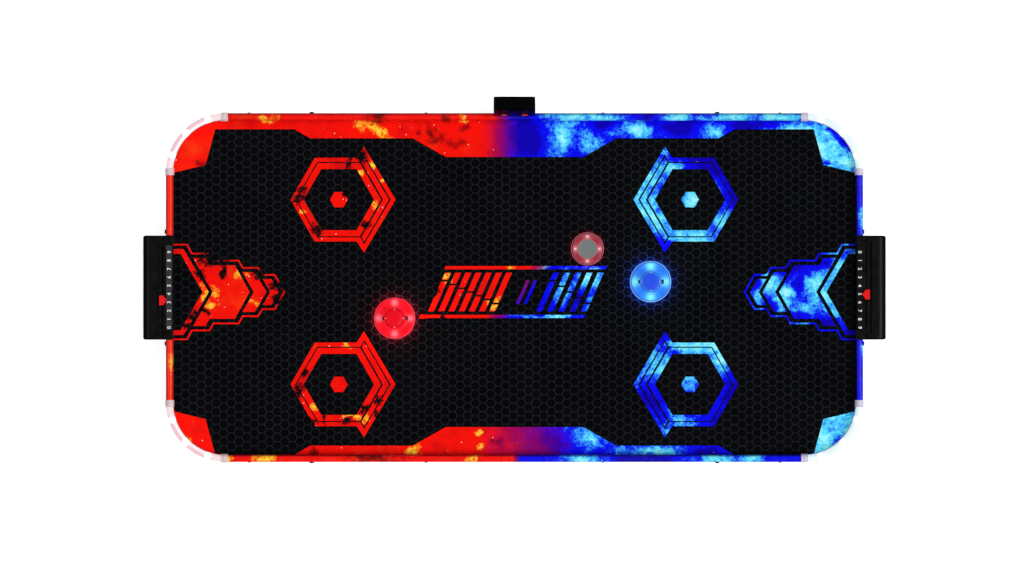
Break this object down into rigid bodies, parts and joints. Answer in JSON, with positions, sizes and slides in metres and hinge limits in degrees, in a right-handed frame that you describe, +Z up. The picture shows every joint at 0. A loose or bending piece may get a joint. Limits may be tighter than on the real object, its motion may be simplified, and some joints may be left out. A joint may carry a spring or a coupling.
{
  "type": "tabletop air hockey",
  "caption": "Rounded air hockey tabletop with lit corner rails, printed field, goal boxes with sliding score pointers, fan, two lit strikers and a lit puck.",
  "frame": {"origin": "middle of the footprint, on the surface that the rubber feet stand on", "axes": "+X along the table towards the blue end, +Y across it towards the control box, +Z up"},
  "size_m": [1.299, 0.6418, 0.13],
  "materials": {
    "apron_laminate": "black laminate over fibreboard, satin",
    "corner_post_plastic": "moulded, fine texture",
    "corner_light_plastic": "translucent white, lit from inside",
    "circuit_board": "solder mask",
    "rail_print": "printed film, red flames to the left and blue ice to the right",
    "sleeve_plastic": "off-white moulded",
    "pine": "sawn",
    "playfield_fibreboard": "hard fibreboard",
    "playfield_print": "printed laminate with a honeycomb ground, satin",
    "bottom_hardboard": "dark hardboard",
    "screw_steel": "zinc plated",
    "bolt_black": "black oxide",
    "goal_plastic": "moulded, satin gloss",
    "score_strip_plastic": "dark grey with white numerals",
    "slider_plastic": "moulded red",
    "control_plastic": "polished black",
    "switch_plastic": "moulded black",
    "rocker_plastic": "moulded red",
    "rubber": "matt",
    "fan_plastic": "glass-filled moulding",
    "motor_metal": "zinc plated can",
    "pusher_red_plastic": "translucent red, lit from inside",
    "pusher_blue_plastic": "translucent blue, lit from inside",
    "pusher_base_plastic": "moulded",
    "felt": "pressed felt",
    "puck_plastic": "translucent red, lit from inside",
    "puck_cap_plastic": "fine grained grey"
  },
  "bodies": {
    "table": {"apron_bolts": "bolt_black", "apron_far": "apron_laminate", "apron_left": "apron_laminate", "apron_near": "apron_laminate", "apron_right": "apron_laminate", "apron_screws": "screw_steel", "bottom_panel": "bottom_hardboard", "control_board": "circuit_board", "control_box": "control_plastic", "corner_light_left_far": "corner_light_plastic", "corner_light_left_near": "corner_light_plastic", "corner_light_right_far": "corner_light_plastic", "corner_light_right_near": "corner_light_plastic", "corner_light_strips": "circuit_board", "corner_post_left_far": "corner_post_plastic", "corner_post_left_near": "corner_post_plastic", "corner_post_right_far": "corner_post_plastic", "corner_post_right_near": "corner_post_plastic", "cross_braces": "pine", "fan_guard": "fan_plastic", "fan_housing": "fan_plastic", "fan_motor": "motor_metal", "fan_switch_body": "switch_plastic", "goal_box_left": "goal_plastic", "goal_box_right": "goal_plastic", "light_switch_body": "switch_plastic", "playfield_board": "playfield_fibreboard", "playfield_print": "playfield_print", "power_jack": "switch_plastic", "rail_far": "rail_print", "rail_left_far": "rail_print", "rail_left_near": "rail_print", "rail_near": "rail_print", "rail_right_far": "rail_print", "rail_right_near": "rail_print", "rail_sleeves": "sleeve_plastic", "rubber_feet": "rubber", "score_strip_left": "score_strip_plastic", "score_strip_right": "score_strip_plastic", "support_cleats": "pine", "underside_screws": "screw_steel"},
    "left_score_slider": {"score_slider_left": "slider_plastic"},
    "right_score_slider": {"score_slider_right": "slider_plastic"},
    "fan_rocker": {"fan_rocker": "rocker_plastic"},
    "light_rocker": {"light_rocker": "rocker_plastic"},
    "impeller": {"fan_impeller": "fan_plastic"},
    "red_pusher": {"red_pusher_shell": "pusher_red_plastic", "red_pusher_base": "pusher_base_plastic", "red_pusher_felt": "felt", "red_pusher_light_board": "circuit_board"},
    "red_pusher_switch": {"red_pusher_switch": "switch_plastic"},
    "blue_pusher": {"blue_pusher_shell": "pusher_blue_plastic", "blue_pusher_base": "pusher_base_plastic", "blue_pusher_felt": "felt", "blue_pusher_light_board": "circuit_board"},
    "blue_pusher_switch": {"blue_pusher_switch": "switch_plastic"},
    "puck": {"puck_base": "puck_plastic", "puck_shell": "puck_plastic", "puck_cap": "puck_cap_plastic", "puck_light_board": "circuit_board"}
  },
  "joints": [
    {"name": "left_score_slide", "type": "slide", "parent": "table", "child": "left_score_slider", "axis": [0, 1, 0], "range_m": [-0.0475, 0.0843]},
    {"name": "right_score_slide", "type": "slide", "parent": "table", "child": "right_score_slider", "axis": [0, -1, 0], "range_m": [-0.074, 0.0578]},
    {"name": "fan_rocker_pivot", "type": "hinge", "parent": "table", "child": "fan_rocker", "pos_m": [-0.018, 0.2948, 0.11653], "axis": [1, 0, 0], "range_deg": [0, 24]},
    {"name": "light_rocker_pivot", "type": "hinge", "parent": "table", "child": "light_rocker", "pos_m": [0.018, 0.2948, 0.11653], "axis": [1, 0, 0], "range_deg": [0, 24]},
    {"name": "impeller_spin", "type": "hinge", "parent": "table", "child": "impeller", "pos_m": [0, -0.01235, 0.03], "axis": [0, 0, 1], "continuous": true},
    {"name": "red_pusher_glide", "type": "slide", "parent": "table", "child": "red_pusher", "axis": [0, 1, 0], "range_m": [-0.2013, 0.3087]},
    {"name": "blue_pusher_glide", "type": "slide", "parent": "table", "child": "blue_pusher", "axis": [0, 1, 0], "range_m": [-0.2653, 0.2447]},
    {"name": "puck_glide", "type": "slide", "parent": "table", "child": "puck", "axis": [0, 1, 0], "range_m": [-0.3303, 0.1947]},
    {"name": "red_pusher_switch_slide", "type": "slide", "parent": "red_pusher", "child": "red_pusher_switch", "axis": [0, 1, 0], "range_m": [0, 0.0032]},
    {"name": "blue_pusher_switch_slide", "type": "slide", "parent": "blue_pusher", "child": "blue_pusher_switch", "axis": [0, 1, 0], "range_m": [0, 0.0032]}
  ]
}
